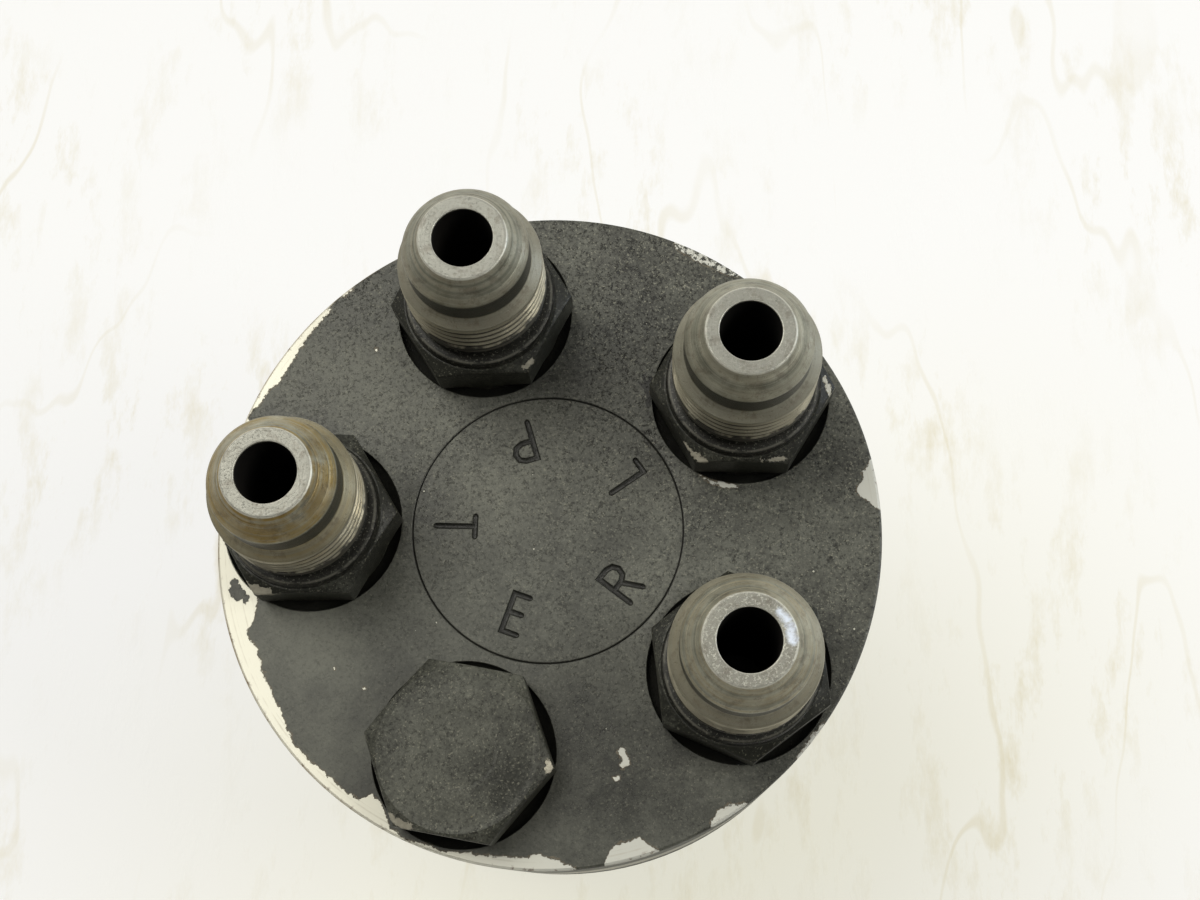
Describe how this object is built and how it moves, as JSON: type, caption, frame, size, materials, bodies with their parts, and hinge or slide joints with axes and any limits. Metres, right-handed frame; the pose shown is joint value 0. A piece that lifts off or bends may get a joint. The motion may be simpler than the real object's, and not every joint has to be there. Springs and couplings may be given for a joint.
{
  "type": "orbital steering unit",
  "caption": "Round end-ported hydraulic steering metering unit with flared hose adapters, gerotor set, rotary spool valve and a splined steering column face.",
  "frame": {"origin": "centre of the flat face that bolts to the steering column", "axes": "+Z along the steering axis, from the column face to the port face; +X is midway between two ports and through a clamp screw"},
  "size_m": [0.106, 0.106, 0.145],
  "materials": {
    "port_paint": "satin black paint, pitted and chipped to bare steel at the rim",
    "housing_paint": "satin black paint on a casting",
    "ground_steel": "ground steel",
    "turned_steel": "turned steel, dull, with black paint on the hexagon",
    "screw_steel": "black oxide steel",
    "valve_steel": "hardened and ground steel",
    "bearing_steel": "polished bearing steel",
    "spring_steel": "blued spring steel",
    "cage_plastic": "moulded bearing cage",
    "seal_rubber": "nitrile rubber"
  },
  "bodies": {
    "housing": {"bearing_race_lower": "bearing_steel", "check_seat": "bearing_steel", "clamp_screws": "screw_steel", "cover_seal": "seal_rubber", "dust_seal": "seal_rubber", "flange_screws": "screw_steel", "flange_seal": "seal_rubber", "mounting_flange": "housing_paint", "plate_seal": "seal_rubber", "port_cover": "port_paint", "port_fitting_l": "turned_steel", "port_fitting_p": "turned_steel", "port_fitting_r": "turned_steel", "port_fitting_t": "turned_steel", "port_plug": "port_paint", "port_seal_l": "seal_rubber", "port_seal_p": "seal_rubber", "port_seal_plug": "seal_rubber", "port_seal_r": "seal_rubber", "port_seal_t": "seal_rubber", "rotor_ring": "ground_steel", "shaft_seal": "seal_rubber", "valve_housing": "housing_paint", "wear_plate": "ground_steel"},
    "metering_sleeve": {"valve_sleeve": "valve_steel", "cross_pin": "valve_steel", "pin_ring": "spring_steel", "centring_springs": "spring_steel", "bearing_race_upper": "bearing_steel"},
    "input_spool": {"valve_spool": "valve_steel"},
    "thrust_bearing": {"bearing_cage": "cage_plastic", "bearing_needles": "bearing_steel"},
    "orbit_carrier": {"drive_spacer": "ground_steel"},
    "gerotor_rotor": {"rotor": "ground_steel"},
    "drive_link": {"drive_shaft": "valve_steel"},
    "check_valve_ball": {"check_ball": "bearing_steel"}
  },
  "joints": [
    {"name": "metering_turn", "type": "hinge", "parent": "housing", "child": "metering_sleeve", "pos_m": [0, 0, 0.05], "axis": [0, 0, 1], "continuous": true},
    {"name": "steering_lead", "type": "hinge", "parent": "metering_sleeve", "child": "input_spool", "pos_m": [0, 0, 0.05], "axis": [0, 0, 1], "range_deg": [-10, 10], "stiffness_Nm_per_rad": 8, "deforming": ["centring_springs"]},
    {"name": "bearing_roll", "type": "hinge", "parent": "housing", "child": "thrust_bearing", "pos_m": [0, 0, 0.0275], "axis": [0, 0, 1], "continuous": true},
    {"name": "rotor_orbit", "type": "hinge", "parent": "housing", "child": "orbit_carrier", "pos_m": [0, 0, 0.085], "axis": [0, 0, 1], "continuous": true},
    {"name": "rotor_spin", "type": "hinge", "parent": "orbit_carrier", "child": "gerotor_rotor", "pos_m": [0.0027, 0, 0.085], "axis": [0, 0, 1], "continuous": true},
    {"name": "link_spin", "type": "hinge", "parent": "orbit_carrier", "child": "drive_link", "pos_m": [0, 0, 0.04302], "axis": [0.0642, 0, 0.9979], "continuous": true},
    {"name": "check_lift", "type": "slide", "parent": "housing", "child": "check_valve_ball", "axis": [0, 0, 1], "range_m": [0, 0.0015]}
  ],
  "couplings": [
    {"joint": "bearing_roll", "follows": "metering_turn", "ratio": 0.5},
    {"joint": "rotor_orbit", "follows": "metering_turn", "ratio": -6},
    {"joint": "rotor_spin", "follows": "metering_turn", "ratio": 7},
    {"joint": "link_spin", "follows": "metering_turn", "ratio": 7}
  ]
}
